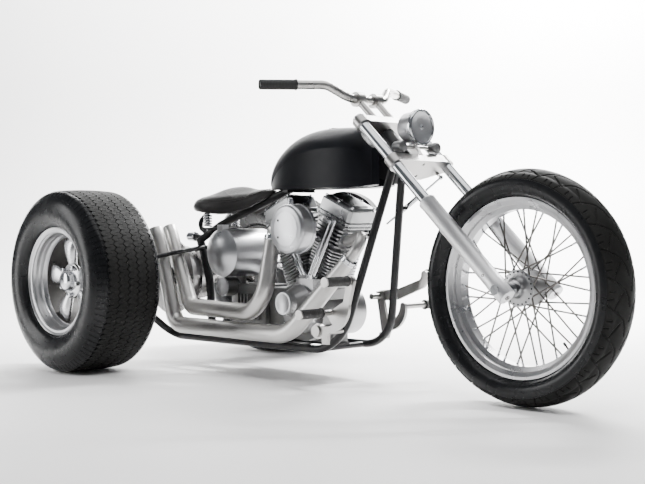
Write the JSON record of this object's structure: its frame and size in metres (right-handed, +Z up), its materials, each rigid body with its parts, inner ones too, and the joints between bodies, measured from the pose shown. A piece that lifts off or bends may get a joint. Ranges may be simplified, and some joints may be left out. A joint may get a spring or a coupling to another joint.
{
  "type": "motorized trike",
  "caption": "Three-wheeled motorcycle: rigid tube frame, V-twin engine, long raked fork with a spoked front wheel, and two wide rear wheels.",
  "frame": {"origin": "on the floor, in the middle of the length and width", "axes": "+X forward, +Y to the rider's left, +Z up"},
  "size_m": [2.4713, 1.2914, 1.0683],
  "materials": {
    "cast_aluminium": "cast",
    "bright_steel": "satin",
    "dark_steel": "satin",
    "brushed_steel": "brushed",
    "machined_aluminium": "satin",
    "chrome": "polished",
    "black_paint": "gloss",
    "polished_aluminium": "polished",
    "tyre": "matte",
    "satin_black_paint": "satin",
    "black_rubber": "matte",
    "lamp_glass": "clear",
    "saddle_leather": "satin"
  },
  "bodies": {
    "chassis": {"air_cleaner": "cast_aluminium", "axle_housing": "bright_steel", "brake_disc": "bright_steel", "crankcase": "cast_aluminium", "cylinder_front": "cast_aluminium", "cylinder_rear": "cast_aluminium", "drive_chain": "dark_steel", "exhaust_front": "brushed_steel", "exhaust_rear": "brushed_steel", "foot_bracket_left": "machined_aluminium", "foot_bracket_right": "machined_aluminium", "frame_backbone": "black_paint", "frame_cradle_left": "black_paint", "frame_cradle_right": "black_paint", "fuel_tank": "satin_black_paint", "gearbox": "cast_aluminium", "horn_cover": "satin_black_paint", "intake": "cast_aluminium", "oil_tank": "cast_aluminium", "peg_lower_left": "black_rubber", "peg_lower_right": "black_rubber", "peg_upper_left": "black_rubber", "peg_upper_right": "black_rubber", "primary_cover": "cast_aluminium", "pushrods_front": "chrome", "pushrods_rear": "chrome", "rocker_box_front": "cast_aluminium", "rocker_box_rear": "cast_aluminium", "seat": "saddle_leather", "seat_spring_left": "chrome", "seat_spring_right": "chrome", "tail_lamp": "chrome", "tank_cap": "chrome", "timing_cover": "cast_aluminium"},
    "steering": {"fork_slider_left": "machined_aluminium", "fork_slider_right": "machined_aluminium", "fork_tube_left": "chrome", "fork_tube_right": "chrome", "front_axle": "bright_steel", "grip_left": "black_rubber", "grip_right": "black_rubber", "handlebar": "brushed_steel", "headlamp_lens": "lamp_glass", "headlamp_shell": "machined_aluminium", "lower_clamp": "machined_aluminium", "marker_lamp_left": "chrome", "marker_lamp_right": "chrome", "upper_clamp": "machined_aluminium"},
    "front_wheel": {"front_tyre": "tyre", "front_rim": "polished_aluminium", "front_hub": "polished_aluminium"},
    "rear_wheel_right": {"rear_tyre_right": "tyre", "rear_wheel_right": "polished_aluminium"},
    "rear_wheel_left": {"rear_tyre_left": "tyre", "rear_wheel_left": "polished_aluminium"},
    "damper_cylinder": {"damper_body": "bright_steel"},
    "damper_piston": {"damper_rod": "bright_steel"}
  },
  "joints": [
    {"name": "steering_turn", "type": "hinge", "parent": "chassis", "child": "steering", "pos_m": [0.33859, 0, 0.8173], "axis": [-0.7337, 0, 0.6794], "range_deg": [-28, 28]},
    {"name": "front_wheel_spin", "type": "hinge", "parent": "steering", "child": "front_wheel", "pos_m": [0.86525, 0, 0.3705], "axis": [0, 1, 0], "continuous": true},
    {"name": "rear_wheel_right_spin", "type": "hinge", "parent": "chassis", "child": "rear_wheel_right", "pos_m": [-0.88275, -0.508, 0.353], "axis": [0, 1, 0], "continuous": true},
    {"name": "rear_wheel_left_spin", "type": "hinge", "parent": "chassis", "child": "rear_wheel_left", "pos_m": [-0.88275, 0.508, 0.353], "axis": [0, 1, 0], "continuous": true},
    {"name": "damper_swing", "type": "hinge", "parent": "chassis", "child": "damper_cylinder", "pos_m": [0.30125, 0.0808, 0.6326], "axis": [-0.3726, 0.8575, 0.3547], "range_deg": [-5, 5]},
    {"name": "damper_stroke", "type": "slide", "parent": "damper_cylinder", "child": "damper_piston", "axis": [0.8112, 0.1154, 0.5733], "range_m": [-0.06, 0.06]}
  ],
  "couplings": [
    {"joint": "damper_swing", "follows": "steering_turn", "ratio": 0.1442},
    {"joint": "damper_stroke", "follows": "steering_turn", "m_per_rad": -0.0971}
  ]
}
